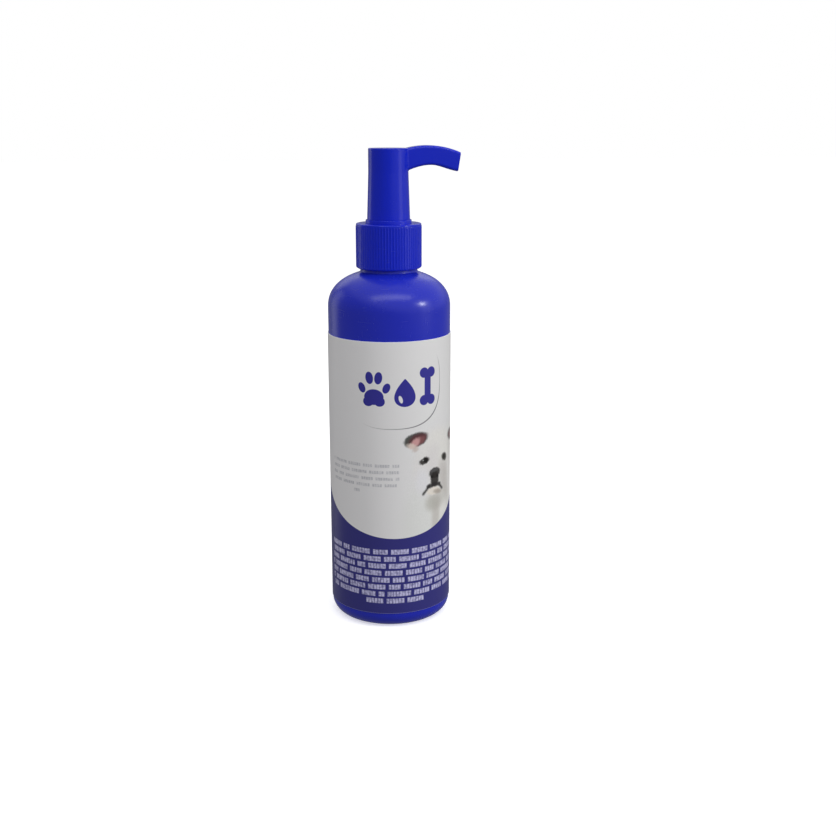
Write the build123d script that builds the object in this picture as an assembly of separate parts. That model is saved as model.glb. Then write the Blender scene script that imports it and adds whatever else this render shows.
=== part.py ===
"""A 250 ml shampoo bottle with a wrap-round label and a screw-on lotion pump.

Millimetres, +Z up. The origin is the centre of the foot ring, on the surface that the bottle
stands on. The label's front faces -Y and the spout points along +X. The pump is drawn screwed
home, with its head up. Each piece is one solid, written to its own STEP file.
"""

from build123d import *
import os
from math import asin, cos, hypot, sin, sqrt

# ---- Bottle ------------------------------------------------------------------------------
BODY_R = 25.0
WALL = 1.0
HEEL_R = 6.0  # round between the upright side and the foot ring
FOOT_IN_R = 17.0  # inner edge of the flat foot ring
DOME_R = 15.4  # edge of the domed base
DOME_EDGE = 1.4  # height of that edge above the foot
PUSH_UP = 2.6  # height of the dome's middle above the foot
SHOULDER_Z = 131.55  # where the upright side ends
SHOULDER_RISE = 15.4  # half height of the superellipse that the shoulder follows
SHOULDER_POWER = 2.27
NECK_FLARE = 2.0  # width of the hollow curve between shoulder and neck root
NECK_FLARE_Z = 146.3  # height at which that curve turns upright
NECK_ROOT_R = 11.6
NECK_ROOT_Z = 147.7
NECK_R = 10.8
BORE_R = 9.55
NECK_TOP = 161.3
LIP = 0.3  # bevel on the neck's rim

# ---- Label -------------------------------------------------------------------------------
LABEL_LOW = 6.9
LABEL_HIGH = 121.1
LABEL_THICK = 0.3
LABEL_GAP = 2.0  # strip of bare bottle between the label's two edges, at the back

# ---- Neck thread, eight turns to the inch ------------------------------------------------
PITCH = 3.175
THREAD_TURNS = 1.5
THREAD_R = 11.95  # crest of the neck's thread
THREAD_START = 154.4  # height of its lower end
THREAD_ROOT_W = 2.0
THREAD_CREST_W = 0.9
CAP_THREAD_R = 11.1  # crest of the closure's thread
CAP_THREAD_ROOT_W = 1.6
CAP_THREAD_CREST_W = 0.7
THREAD_SINK = 0.25  # how far a thread's root is sunk in its wall

# ---- Closure -----------------------------------------------------------------------------
CAP_LOW = 147.1
CAP_TOP = 165.2
CAP_R = 13.2
CAP_IN_R = 12.15
CAP_DECK = 1.3
CAP_BEVEL_W = 0.9  # bevel under the skirt
CAP_BEVEL_H = 0.55
CAP_EDGE_R = 0.7
RIBS = 72
RIB_R = 0.3
RIB_PROUD = 0.22
RIB_LOW = 147.8
RIB_TOP = 164.4

# ---- Stack under the closure's deck ------------------------------------------------------
GASKET = 0.8
GASKET_R = 11.3
FLANGE = 0.9  # thickness of the housing's flange, and again of the chaplet's
FLANGE_R = 11.2
CHAPLET_RIM = 0.5  # the chaplet's rim, which snaps over the housing's flange
COLLAR_TOP = 166.6
COLLAR_R = 9.28
COLLAR_BORE_R = 8.74
COLLAR_EDGE = 0.15
SMALL_GAP = 0.05  # clearance between still pieces, and of a running fit
TOUCH_GAP = 0.02  # clearance drawn where two surfaces touch

# ---- Housing: cup in the neck, barrel, ball chamber, tube socket -------------------------
CUP_R = 9.4
CUP_BORE_R = 8.85
CUP_FLOOR = 148.0
CUP_FLOOR_THICK = 1.0
BARREL_R = 7.0
BARREL_BORE_R = 6.0
BARREL_LOW = 117.4
CHAMBER_R = 5.2
CHAMBER_TOP = 113.6
CHAMBER_BORE_R = 3.0
CHAMBER_LOW = 108.0
SOCKET_R = 4.2
SOCKET_LOW = 96.0
INLET_R = 1.3
SEAT_LOW = 109.4  # throat of the ball's seat, a 45 degree cone
RETAINER_R = 4.2
RETAINER_Z = 115.0
RETAINER_THICK = 1.4
RETAINER_BAR = 1.0
VENT_R = 0.5
VENT_Z = 136.8  # between the piston's two lips when the head is up

# ---- Stem guide, wiper, spring -----------------------------------------------------------
GUIDE_R = 7.0
GUIDE_THICK = 1.0
GUIDE_LOW = 141.5
GUIDE_PLAY = 0.08
WIPER_R = 4.4
WIPER_DEEP = 1.6
WIPER_LIP = 0.5
SPRING_R = 5.3  # to the middle of the wire
WIRE_R = 0.5
SPRING_TURNS = 6.5
CUFF_TOP = 178.5
CUFF_THICK = 1.2
CUFF_R = 6.6

# ---- Stem, rod, piston, ball -------------------------------------------------------------
STEM_R = 3.25
STEM_BORE_R = 1.75
STEM_LOW = 140.0
STEM_HIGH = 184.0
ROD_R = 1.72
ROD_ARM = 0.9  # thickness of the arms of the rod's cross
ROD_IN_STEM = 7.0
VALVE_R = 3.2
VALVE_THICK = 1.4
PISTON_GAP = 0.8  # how far the piston floats between the valve disc and the stem
PISTON_BORE_R = 1.8
PISTON_HUB_R = 3.4
PISTON_HUB = 4.8
PISTON_WEB = 1.2
PISTON_SLEEVE_IN = 5.0
PISTON_SLEEVE_R = 5.5
PISTON_LIP_R = 5.97
PISTON_LIP = 0.4
PISTON_FLARE = 1.6  # height over which a lip flares out
PISTON_LENGTH = 7.0
BALL_R = 2.2

# ---- Dip tube ----------------------------------------------------------------------------
TUBE_R = 3.0
TUBE_BORE_R = 2.1
TUBE_STRAIGHT_END = 92.0
TUBE_BEND_R = 260.0
TUBE_DROP = 85.5  # height of the bent stretch
TUBE_SLANT = 30.0  # slope of the cut end, degrees

# ---- Pump head ---------------------------------------------------------------------------
HEAD_LOW = 163.2
HEAD_TOP = 194.6
SKIRT_R = 8.65
SKIRT_TOP = 167.2  # the skirt is straight up to here, then tapers
WAIST_Z = 185.0
WAIST_R = 8.05
HEAD_TOP_R = 8.0
HEAD_WALL = 1.2
HEAD_EDGE_R = 0.4
BOSS_R = 4.6
BOSS_LOW = 170.0
WEB = 1.0
SPOUT_START_HIGH = 191.8  # top and bottom of the spout on the head's axis
SPOUT_START_LOW = 182.2
SPOUT_ROOT_X = 7.5  # where the underside leaves the tube
SPOUT_ROOT_LOW = 185.85
SPOUT_CROWN_X = 17.0
SPOUT_CROWN_Z = 195.6
SPOUT_TIP_X = 29.0
SPOUT_TIP_Z = 192.85
SPOUT_LIP_X = 27.85
SPOUT_LIP_Z = 185.35
SPOUT_ARCH_X = 18.5  # top of the underside's arch
SPOUT_ARCH_Z = 187.85
SPOUT_THROAT_X = 25.2
SPOUT_THROAT_Z = 186.0
SPOUT_ROOT_W = 7.2
SPOUT_TIP_W = 6.0
SPOUT_EDGE_R = 1.1
SPOUT_LIP_R = 0.3
SPOUT_BLEND_R = 0.8  # hollow round where the spout leaves the tube
CHANNEL_R = 1.75
CHANNEL_START_Z = 189.9
CHANNEL_BEND_X = 15.0
CHANNEL_BEND_Z = 191.2
CHANNEL_END_X = 28.45
CHANNEL_END_Z = 189.1
CHANNEL_BEND_R = 40.0

# ---- Heights that follow -----------------------------------------------------------------
FLANGE_LOW = NECK_TOP + GASKET
FLANGE_TOP = FLANGE_LOW + FLANGE
DECK_LOW = CAP_TOP - CAP_DECK
GUIDE_TOP = CUP_FLOOR + GUIDE_THICK
CUFF_LOW = CUFF_TOP - CUFF_THICK
HUB_TOP = STEM_LOW - PISTON_GAP
HUB_LOW = HUB_TOP - PISTON_HUB


def flat(*points):
    """Points in the XZ plane, given as (radius, height)."""
    return [(r, 0, z) for r, z in points]


def turned(outline):
    """The solid that a closed outline in the XZ plane makes when turned about Z."""
    return revolve(make_face(outline), Axis.Z)


def ring(*points):
    """A turned solid whose outline is straight from each (radius, height) to the next."""
    return turned(Polyline(*flat(*points), close=True))


def tube(inner_r, outer_r, low, high):
    """A plain tube, or a disc where the inner radius is 0."""
    return ring((inner_r, low), (outer_r, low), (outer_r, high), (inner_r, high))


def block(size_x, size_y, low, high):
    """A box centred on Z, from one height to another."""
    return Pos(0, 0, (low + high) / 2) * Box(size_x, size_y, high - low)


def shoulder(side_r, rise, end_r, steps=8):
    """Curve along the superellipse from the upright side, at side_r, in to end_r."""
    power = 2 / SHOULDER_POWER
    end_rise = (1 - (end_r / side_r) ** SHOULDER_POWER) ** (1 / SHOULDER_POWER)
    end_angle = asin(end_rise ** (1 / power))
    points = []
    for i in range(steps + 1):
        angle = end_angle * i / steps
        points.append((side_r * cos(angle) ** power, SHOULDER_Z + rise * sin(angle) ** power))
    shape = rise / side_r
    slope = shape * (end_r / side_r / end_rise) ** (SHOULDER_POWER - 1)
    return Spline(*flat(*points), tangents=[(0, 0, 1), (-1, 0, slope)])


def thread(root_r, crest_r, root_w, crest_w, low):
    """A right-hand thread ridge: its trapezoid section swept up a helix from height low."""
    corners = flat(
        (root_r, low - root_w / 2),
        (crest_r, low - crest_w / 2),
        (crest_r, low + crest_w / 2),
        (root_r, low + root_w / 2),
    )
    path = Pos(0, 0, low) * Helix(PITCH, PITCH * THREAD_TURNS, min(root_r, crest_r))
    return sweep(make_face(Polyline(*corners, close=True)), path=path, is_frenet=True)


def make_bottle():
    """Blown bottle: domed base on a foot ring, round shoulder, threaded neck, even wall."""
    foot_r = BODY_R - HEEL_R
    in_r = BODY_R - WALL
    outside = shoulder(BODY_R, SHOULDER_RISE, NECK_ROOT_R + NECK_FLARE)
    inside = shoulder(in_r, SHOULDER_RISE - WALL, BORE_R)
    out_end = outside @ 1
    flare_z = out_end.Z + NECK_FLARE * SHOULDER_RISE / BODY_R / 2
    outline = [
        TangentArc(*flat((0, PUSH_UP), (DOME_R, DOME_EDGE)), tangent=(1, 0, 0)),
        Polyline(*flat((DOME_R, DOME_EDGE), (FOOT_IN_R, 0), (foot_r, 0))),
        TangentArc(*flat((foot_r, 0), (BODY_R, HEEL_R)), tangent=(1, 0, 0)),
        Line(*flat((BODY_R, HEEL_R), (BODY_R, SHOULDER_Z))),
        outside,
        Bezier(out_end, *flat((NECK_ROOT_R, flare_z), (NECK_ROOT_R, NECK_FLARE_Z))),
        Polyline(
            *flat(
                (NECK_ROOT_R, NECK_FLARE_Z),
                (NECK_ROOT_R, NECK_ROOT_Z),
                (NECK_R, NECK_ROOT_Z),
                (NECK_R, NECK_TOP - LIP),
                (NECK_R - LIP, NECK_TOP),
                (BORE_R, NECK_TOP),
            ),
            inside @ 1,
        ),
        inside,
        Line(*flat((in_r, SHOULDER_Z), (in_r, HEEL_R))),
        TangentArc(*flat((in_r, HEEL_R), (foot_r, WALL)), tangent=(0, 0, -1)),
        Polyline(*flat((foot_r, WALL), (FOOT_IN_R, WALL), (DOME_R, DOME_EDGE + WALL))),
        TangentArc(
            *flat((0, PUSH_UP + WALL), (DOME_R, DOME_EDGE + WALL)), tangent=(1, 0, 0)
        ),
        Line(*flat((0, PUSH_UP + WALL), (0, PUSH_UP))),
    ]
    ridge = thread(
        NECK_R - THREAD_SINK, THREAD_R, THREAD_ROOT_W, THREAD_CREST_W, THREAD_START
    )
    return turned(outline) + ridge


def make_label():
    """Wrap-round label whose two upright edges stop short of each other at the back."""
    wrap = tube(BODY_R, BODY_R + LABEL_THICK, LABEL_LOW, LABEL_HIGH)
    gap = Pos(0, BODY_R, 0) * block(LABEL_GAP, HEEL_R, 0, SHOULDER_Z)
    return wrap - gap


def make_closure():
    """Screw closure: bevelled skirt with fine grip ribs, flat deck with a hole, thread inside."""
    hole_r = COLLAR_R + SMALL_GAP
    bevel_r = CAP_R - CAP_BEVEL_W
    side = flat(
        (bevel_r, CAP_LOW),
        (CAP_R, CAP_LOW + CAP_BEVEL_H),
        (CAP_R, CAP_TOP - CAP_EDGE_R),
    )
    deck = flat(
        (CAP_R - CAP_EDGE_R, CAP_TOP),
        (hole_r, CAP_TOP),
        (hole_r, DECK_LOW),
        (CAP_IN_R, DECK_LOW),
        (CAP_IN_R, CAP_LOW),
        (bevel_r, CAP_LOW),
    )
    edge = TangentArc(side[-1], deck[0], tangent=(0, 0, 1))
    skin = turned([Polyline(*side), edge, Polyline(*deck)])
    rib = Pos(0, 0, (RIB_LOW + RIB_TOP) / 2) * Cylinder(RIB_R, RIB_TOP - RIB_LOW)
    ribs = PolarLocations(CAP_R + RIB_PROUD - RIB_R, RIBS) * rib
    ridge = thread(
        CAP_IN_R + THREAD_SINK,
        CAP_THREAD_R,
        CAP_THREAD_ROOT_W,
        CAP_THREAD_CREST_W,
        THREAD_START - PITCH / 2,
    )
    return skin + ribs + ridge


def make_chaplet():
    """Guide collar: flange clamped under the deck, rim over the housing, ring above the deck."""
    rim_in = FLANGE_R + SMALL_GAP
    rim_out = rim_in + CHAPLET_RIM
    rim_low = FLANGE_LOW + SMALL_GAP
    return ring(
        (COLLAR_BORE_R, FLANGE_TOP),
        (rim_in, FLANGE_TOP),
        (rim_in, rim_low),
        (rim_out, rim_low),
        (rim_out, DECK_LOW),
        (COLLAR_R, DECK_LOW),
        (COLLAR_R, COLLAR_TOP - COLLAR_EDGE),
        (COLLAR_R - COLLAR_EDGE, COLLAR_TOP),
        (COLLAR_BORE_R + COLLAR_EDGE, COLLAR_TOP),
        (COLLAR_BORE_R, COLLAR_TOP - COLLAR_EDGE),
    )


def make_housing():
    """Pump body: flange, cup for the head's skirt, barrel, ball seat and dip tube socket."""
    seat_top = SEAT_LOW + CHAMBER_BORE_R - INLET_R
    retainer_top = RETAINER_Z + RETAINER_THICK
    body = ring(
        (CUP_BORE_R, FLANGE_TOP),
        (FLANGE_R, FLANGE_TOP),
        (FLANGE_R, FLANGE_LOW),
        (CUP_R, FLANGE_LOW),
        (CUP_R, CUP_FLOOR - CUP_FLOOR_THICK),
        (BARREL_R, CUP_FLOOR - CUP_FLOOR_THICK),
        (BARREL_R, RETAINER_Z),
        (CHAMBER_R, CHAMBER_TOP),
        (CHAMBER_R, CHAMBER_LOW),
        (SOCKET_R, CHAMBER_LOW),
        (SOCKET_R, SOCKET_LOW),
        (TUBE_R, SOCKET_LOW),
        (TUBE_R, CHAMBER_LOW),
        (INLET_R, CHAMBER_LOW),
        (INLET_R, SEAT_LOW),
        (CHAMBER_BORE_R, seat_top),
        (CHAMBER_BORE_R, RETAINER_Z),
        (RETAINER_R, RETAINER_Z),
        (RETAINER_R, retainer_top),
        (BARREL_BORE_R, BARREL_LOW),
        (BARREL_BORE_R, CUP_FLOOR),
        (CUP_BORE_R, CUP_FLOOR),
    )
    drill = Cylinder(VENT_R, 2 * (BARREL_R - STEM_R))
    vent = Pos(0, BARREL_R, VENT_Z) * Rot(90, 0, 0) * drill
    return body - vent


def make_stem_guide():
    """Cylinder cap: plug in the barrel's mouth, flange under the spring, pocket for the wiper."""
    bore_r = STEM_R + GUIDE_PLAY
    return ring(
        (bore_r, GUIDE_LOW),
        (BARREL_BORE_R, GUIDE_LOW),
        (BARREL_BORE_R, CUP_FLOOR),
        (GUIDE_R, CUP_FLOOR),
        (GUIDE_R, GUIDE_TOP),
        (WIPER_R, GUIDE_TOP),
        (WIPER_R, GUIDE_TOP - WIPER_DEEP),
        (bore_r, GUIDE_TOP - WIPER_DEEP),
    )


def make_wiper():
    """Soft ring with a raised outer edge that keeps shower water from running down the stem."""
    low = GUIDE_TOP - WIPER_DEEP
    return ring(
        (STEM_R + TOUCH_GAP, low),
        (WIPER_R, low),
        (WIPER_R, GUIDE_TOP),
        (WIPER_R - WIPER_LIP, GUIDE_TOP),
        (STEM_R + WIPER_LIP, low + WIPER_LIP),
        (STEM_R + TOUCH_GAP, GUIDE_TOP - WIPER_LIP),
    )


def make_spring():
    """Return spring, one wire wound about the boss from the stem guide up to the cuff."""
    low = GUIDE_TOP + WIRE_R
    height = CUFF_LOW - WIRE_R - low
    path = Pos(0, 0, low) * Helix(height / SPRING_TURNS, height, SPRING_R)
    section = Plane(origin=path @ 0, z_dir=path % 0) * Circle(WIRE_R)
    return sweep(section, path=path, is_frenet=True)


def make_rod():
    """Valve disc under the piston, on a cross-shaped shank that plugs into the stem's bore."""
    top = STEM_LOW + ROD_IN_STEM
    arm = block(2 * ROD_R, ROD_ARM, HUB_LOW, top)
    cross = (arm + Rot(0, 0, 90) * arm) & tube(0, ROD_R, HUB_LOW, top)
    return tube(0, VALVE_R, HUB_LOW - VALVE_THICK, HUB_LOW) + cross


def make_piston():
    """Floating piston: hub round the rod, thin web, sleeve with a wiping lip at each end."""
    middle = (HUB_LOW + HUB_TOP) / 2
    web_low = middle - PISTON_WEB / 2
    web_top = middle + PISTON_WEB / 2
    low = middle - PISTON_LENGTH / 2
    top = middle + PISTON_LENGTH / 2
    return ring(
        (PISTON_BORE_R, HUB_LOW),
        (PISTON_HUB_R, HUB_LOW),
        (PISTON_HUB_R, web_low),
        (PISTON_SLEEVE_IN, web_low),
        (PISTON_SLEEVE_R, low),
        (PISTON_LIP_R, low),
        (PISTON_LIP_R, low + PISTON_LIP),
        (PISTON_SLEEVE_R, low + PISTON_LIP + PISTON_FLARE),
        (PISTON_SLEEVE_R, top - PISTON_LIP - PISTON_FLARE),
        (PISTON_LIP_R, top - PISTON_LIP),
        (PISTON_LIP_R, top),
        (PISTON_SLEEVE_R, top),
        (PISTON_SLEEVE_IN, web_top),
        (PISTON_HUB_R, web_top),
        (PISTON_HUB_R, HUB_TOP),
        (PISTON_BORE_R, HUB_TOP),
    )


def make_ball():
    """Inlet ball, resting on the 45 degree seat."""
    centre = SEAT_LOW - INLET_R + BALL_R * sqrt(2)
    return Pos(0, 0, centre + TOUCH_GAP) * Sphere(BALL_R)


def make_retainer():
    """Ring with a cross of bars that stops the ball from following the piston up."""
    top = RETAINER_Z + RETAINER_THICK
    bar = block(CHAMBER_BORE_R + RETAINER_R, RETAINER_BAR, RETAINER_Z, top)
    return tube(CHAMBER_BORE_R, RETAINER_R, RETAINER_Z, top) + bar + Rot(0, 0, 90) * bar


def make_dip_tube():
    """Dip tube, straight in its socket and then one long bend, with a slanted cut end."""

    def on_bend(angle):
        across = TUBE_BEND_R * (1 - cos(angle))
        return (across, TUBE_STRAIGHT_END - TUBE_BEND_R * sin(angle))

    sweep_angle = asin(TUBE_DROP / TUBE_BEND_R)
    start = (0, TUBE_STRAIGHT_END)
    end = on_bend(sweep_angle)
    path = Polyline(*flat((0, CHAMBER_LOW), start)) + ThreePointArc(
        *flat(start, on_bend(sweep_angle / 2), end)
    )
    section = Pos(0, 0, CHAMBER_LOW) * (Circle(TUBE_R) - Circle(TUBE_BORE_R))
    whole = sweep(section, path=path)
    side = 8 * TUBE_R
    slant = Rot(0, TUBE_SLANT, 0) * Pos(0, 0, -side / 2) * Box(side, side, side)
    return whole - Pos(end[0], 0, end[1] + TUBE_R) * slant


def head_outline(inset):
    """(radius, height) up the head's tapered tube, moved in by a wall's thickness."""
    return [
        (SKIRT_R - inset, HEAD_LOW),
        (SKIRT_R - inset, SKIRT_TOP),
        (WAIST_R - inset, WAIST_Z),
        (HEAD_TOP_R - inset, HEAD_TOP - inset),
        (0, HEAD_TOP - inset),
        (0, HEAD_LOW),
    ]


def make_spout():
    """Flat-sided beak with rounded edges, arched above and below, narrower at its tip."""
    top = ThreePointArc(
        *flat((0, SPOUT_START_HIGH), (SPOUT_CROWN_X, SPOUT_CROWN_Z), (SPOUT_TIP_X, SPOUT_TIP_Z))
    )
    below = Spline(
        *flat(
            (SPOUT_LIP_X, SPOUT_LIP_Z),
            (SPOUT_THROAT_X, SPOUT_THROAT_Z),
            (SPOUT_ARCH_X, SPOUT_ARCH_Z),
            (SPOUT_ROOT_X, SPOUT_ROOT_LOW),
            (0, SPOUT_START_LOW),
        )
    )
    face = make_face([top, Line(top @ 1, below @ 0), below, Line(below @ 1, top @ 0)])
    slab = extrude(face, SPOUT_ROOT_W / 2, dir=(0, 1, 0), both=True)
    half_root = SPOUT_ROOT_W / 2
    half_tip = SPOUT_TIP_W / 2
    reach = SPOUT_TIP_X + SPOUT_EDGE_R
    plan = Polyline(
        (0, -half_root), (reach, -half_tip), (reach, half_tip), (0, half_root), close=True
    )
    beak = slab & extrude(make_face(plan), HEAD_TOP + HEAD_TOP_R)
    long_edges = beak.edges().filter_by(lambda e: e.length > SPOUT_LIP_X - SPOUT_ROOT_X)
    beak = fillet(long_edges, SPOUT_EDGE_R)
    return fillet(beak.faces().sort_by(Axis.X)[-1].edges(), SPOUT_LIP_R)


def blend_root(head):
    """Rounds the corner all along where the spout's skin meets the tube's."""

    def at_root(edge):
        middle = edge @ 0.5
        on_tube = abs(hypot(middle.X, middle.Y) - WAIST_R) < SMALL_GAP
        return on_tube and middle.X > SPOUT_ROOT_X - 1 and middle.Z > SPOUT_ROOT_LOW

    return fillet(head.edges().filter_by(at_root), SPOUT_BLEND_R)


def make_channel():
    """The way that the shampoo takes: up the stem's socket and out along the spout."""
    line = FilletPolyline(
        *flat(
            (0, CHANNEL_START_Z),
            (CHANNEL_BEND_X, CHANNEL_BEND_Z),
            (CHANNEL_END_X, CHANNEL_END_Z),
        ),
        radius=CHANNEL_BEND_R,
    )
    section = Plane(origin=line @ 0, z_dir=line % 0) * Circle(CHANNEL_R)
    rise = tube(0, CHANNEL_R, STEM_HIGH, CHANNEL_START_Z)
    corner = Pos(0, 0, CHANNEL_START_Z) * Sphere(CHANNEL_R)
    socket = tube(0, STEM_R, BOSS_LOW, STEM_HIGH)
    return sweep(section, path=line) + rise + corner + socket


def make_head():
    """Pump head in one moulding: tapered tube with its flat top, webbed stem boss, spout."""
    spout = make_spout()
    tapered = ring(*head_outline(0))
    tapered = fillet(tapered.edges().group_by(Axis.Z)[-1], HEAD_EDGE_R)
    hollow = ring(*head_outline(HEAD_WALL))
    web = block(2 * HEAD_TOP_R - HEAD_WALL, WEB, CUFF_TOP, HEAD_TOP - HEAD_WALL / 2)
    boss = tube(0, BOSS_R, BOSS_LOW, HEAD_TOP - HEAD_WALL / 2)
    inner = boss + web + Rot(0, 0, 90) * web + spout
    return blend_root(tapered + spout) - hollow + inner - make_channel()


PIECES = {
    "bottle": make_bottle,
    "label": make_label,
    "closure": make_closure,
    "neck_gasket": lambda: tube(CUP_R + SMALL_GAP, GASKET_R, NECK_TOP, FLANGE_LOW),
    "chaplet": make_chaplet,
    "housing": make_housing,
    "stem_guide": make_stem_guide,
    "stem_wiper": make_wiper,
    "return_spring": make_spring,
    "spring_cuff": lambda: tube(BOSS_R + GUIDE_PLAY, CUFF_R, CUFF_LOW, CUFF_TOP),
    "pump_head": make_head,
    "stem": lambda: tube(STEM_BORE_R, STEM_R, STEM_LOW, STEM_HIGH),
    "piston_rod": make_rod,
    "piston": make_piston,
    "inlet_ball": make_ball,
    "ball_retainer": make_retainer,
    "dip_tube": make_dip_tube,
}

os.makedirs("parts", exist_ok=True)
for name, make in PIECES.items():
    export_step(make(), f"parts/{name}.step")
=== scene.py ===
"""Looks of the pump bottle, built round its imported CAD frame.

Outlines, threads and artwork are worked out in millimetres and turned into metres when a mesh
is made. A material reads the piece's own coordinates, so its pattern stays put in every pose.
"""

import math

import bmesh
import bpy
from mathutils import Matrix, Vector


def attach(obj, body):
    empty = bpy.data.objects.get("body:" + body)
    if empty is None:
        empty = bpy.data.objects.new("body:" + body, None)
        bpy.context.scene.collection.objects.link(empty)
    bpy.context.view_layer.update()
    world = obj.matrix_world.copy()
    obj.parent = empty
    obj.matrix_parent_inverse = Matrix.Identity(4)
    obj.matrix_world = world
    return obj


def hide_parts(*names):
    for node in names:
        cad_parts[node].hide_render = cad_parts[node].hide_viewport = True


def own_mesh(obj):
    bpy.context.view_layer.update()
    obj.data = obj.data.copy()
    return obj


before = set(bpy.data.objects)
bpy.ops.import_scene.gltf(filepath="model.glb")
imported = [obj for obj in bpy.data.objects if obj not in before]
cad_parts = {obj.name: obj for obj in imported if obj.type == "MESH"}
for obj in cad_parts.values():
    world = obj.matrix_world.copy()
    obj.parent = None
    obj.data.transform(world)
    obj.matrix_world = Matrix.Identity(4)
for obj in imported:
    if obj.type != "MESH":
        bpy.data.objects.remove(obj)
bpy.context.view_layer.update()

MM = 0.001

# ---- Sizes shared with the CAD frame, millimetres ------------------------------------------
BODY_R = 25.0
WALL = 1.0
HEEL_R = 6.0
FOOT_R = 17.3
FOOT_RISE = 2.6
FOOT_ARC_R = 99.1
LABEL_R = 25.3
LABEL_LOW = 6.9
LABEL_HIGH = 121.1
LABEL_CORNER = 2.5
LABEL_GAP = 2.0
SHOULDER_Z = 131.55
SHOULDER_RISE = 15.4
SHOULDER_POWER = 2.27
NECK_ROOT_R = 11.6
NECK_ROOT_Z = 147.7
NECK_FLARE = 2.0
NECK_FLARE_Z = 146.3
NECK_R = 10.8
NECK_BORE_R = 9.55
NECK_TOP = 161.3
PITCH = 3.175
TURNS = 1.5
THREAD_START = 154.4
THREAD_LOW = 152.2
THREAD_HIGH = 160.4
CAP_R = 13.2
CAP_INNER_R = 12.15
CAP_LOW = 147.1
CAP_TOP = 165.2
CAP_CEILING = 163.9
CAP_HOLE_R = 9.33
CAP_SKIRT_Z = 147.65
RIBS = 72
RIB_R = 0.3
RIB_SUNK = 0.17
RIB_LOW = 147.76
RIB_HIGH = 164.42
RIB_FADE = 0.35
CHAPLET_BORE_R = 8.74
CHAPLET_R = 9.28
CHAPLET_TOP = 166.6
SPRING_LOW = 149.0
SPRING_HIGH = 177.3
SPRING_R = 5.3
WIRE_R = 0.5


# ---- Turned meshes -------------------------------------------------------------------------
def rounded(corners, closed=True, steps=5):
    """Points along an outline of (r, z) or (r, z, radius) corners, each radius rounded off."""
    points = []
    count = len(corners)
    for i, corner in enumerate(corners):
        here = Vector(corner[:2])
        radius = corner[2] if len(corner) > 2 else 0
        if not radius or (not closed and i in (0, count - 1)):
            points.append(here)
            continue
        back = (Vector(corners[i - 1][:2]) - here).normalized()
        ahead = (Vector(corners[(i + 1) % count][:2]) - here).normalized()
        half = back.angle(ahead) / 2
        centre = here + (back + ahead).normalized() * radius / math.sin(half)
        start = here + back * radius / math.tan(half) - centre
        turn = math.pi - 2 * half
        if back.x * ahead.y - back.y * ahead.x < 0:
            turn = -turn
        for k in range(steps + 1):
            angle = -turn * k / steps
            c, s = math.cos(angle), math.sin(angle)
            points.append(centre + Vector((start.x * c - start.y * s, start.x * s + start.y * c)))
    return points


def superellipse(side_r, rise, end_r, steps=26):
    """Shoulder curve from the upright side in to end_r, as (r, z) points."""
    power = 2 / SHOULDER_POWER
    end_rise = (1 - (end_r / side_r) ** SHOULDER_POWER) ** (1 / SHOULDER_POWER)
    end_angle = math.asin(end_rise ** (1 / power))
    points = []
    for i in range(steps + 1):
        angle = end_angle * i / steps
        r = side_r * math.cos(angle) ** power
        points.append((r, SHOULDER_Z + rise * math.sin(angle) ** power))
    return points


def arc(centre, radius, start, end, steps):
    """(r, z) points along an arc, angles in degrees."""
    points = []
    for i in range(steps + 1):
        a = math.radians(start + (end - start) * i / steps)
        points.append((centre[0] + radius * math.cos(a), centre[1] + radius * math.sin(a)))
    return points


def bend(start, control, end, steps):
    """(r, z) points after the start along a curve pulled towards a control point."""
    points = []
    for i in range(1, steps + 1):
        t = i / steps
        r, z = (
            (1 - t) ** 2 * a + 2 * t * (1 - t) * b + t * t * c
            for a, b, c in zip(start, control, end)
        )
        points.append((r, z))
    return points


def even_angles(count):
    return [2 * math.pi * i / count for i in range(count)]


def mesh_object(name, verts, faces, crease=32):
    """A piece from millimetre vertices, smooth except across edges sharper than crease."""
    mesh = bpy.data.meshes.new(name)
    mesh.from_pydata([(x * MM, y * MM, z * MM) for x, y, z in verts], [], faces)
    mesh.validate()
    work = bmesh.new()
    work.from_mesh(mesh)
    bmesh.ops.recalc_face_normals(work, faces=work.faces)
    work.to_mesh(mesh)
    work.free()
    mesh.shade_smooth()
    mesh.set_sharp_from_angle(angle=math.radians(crease))
    piece = bpy.data.objects.new(name, mesh)
    bpy.context.scene.collection.objects.link(piece)
    return piece


def lathe(name, outline, angles, closed=True, shift=None, crease=32):
    """Turns an outline about Z. shift(angle, r, z) may move each point to a new (r, z)."""
    verts, rows, faces = [], [], []
    for r, z in outline:
        if r < 1e-6:
            rows.append([len(verts)])
            verts.append((0, 0, z))
            continue
        row = []
        for angle in angles:
            new_r, new_z = shift(angle, r, z) if shift else (r, z)
            row.append(len(verts))
            verts.append((new_r * math.cos(angle), new_r * math.sin(angle), new_z))
        rows.append(row)
    count = len(angles)
    pairs = list(zip(rows, rows[1:]))
    if closed:
        pairs.append((rows[-1], rows[0]))
    for low, high in pairs:
        for i in range(count):
            j = (i + 1) % count
            if len(low) == 1 and len(high) == 1:
                break
            if len(low) == 1:
                faces.append((low[0], high[j], high[i]))
            elif len(high) == 1:
                faces.append((low[i], low[j], high[0]))
            else:
                faces.append((low[i], low[j], high[j], high[i]))
    return mesh_object(name, verts, faces, crease)


def ridge(across, half_width, height):
    """Height of a rounded ridge at a distance across it."""
    t = abs(across) / half_width
    return height * (1 - t * t) ** 2 if t < 1 else 0.0


def smooth01(t):
    t = min(max(t, 0.0), 1.0)
    return t * t * (3 - 2 * t)


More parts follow.
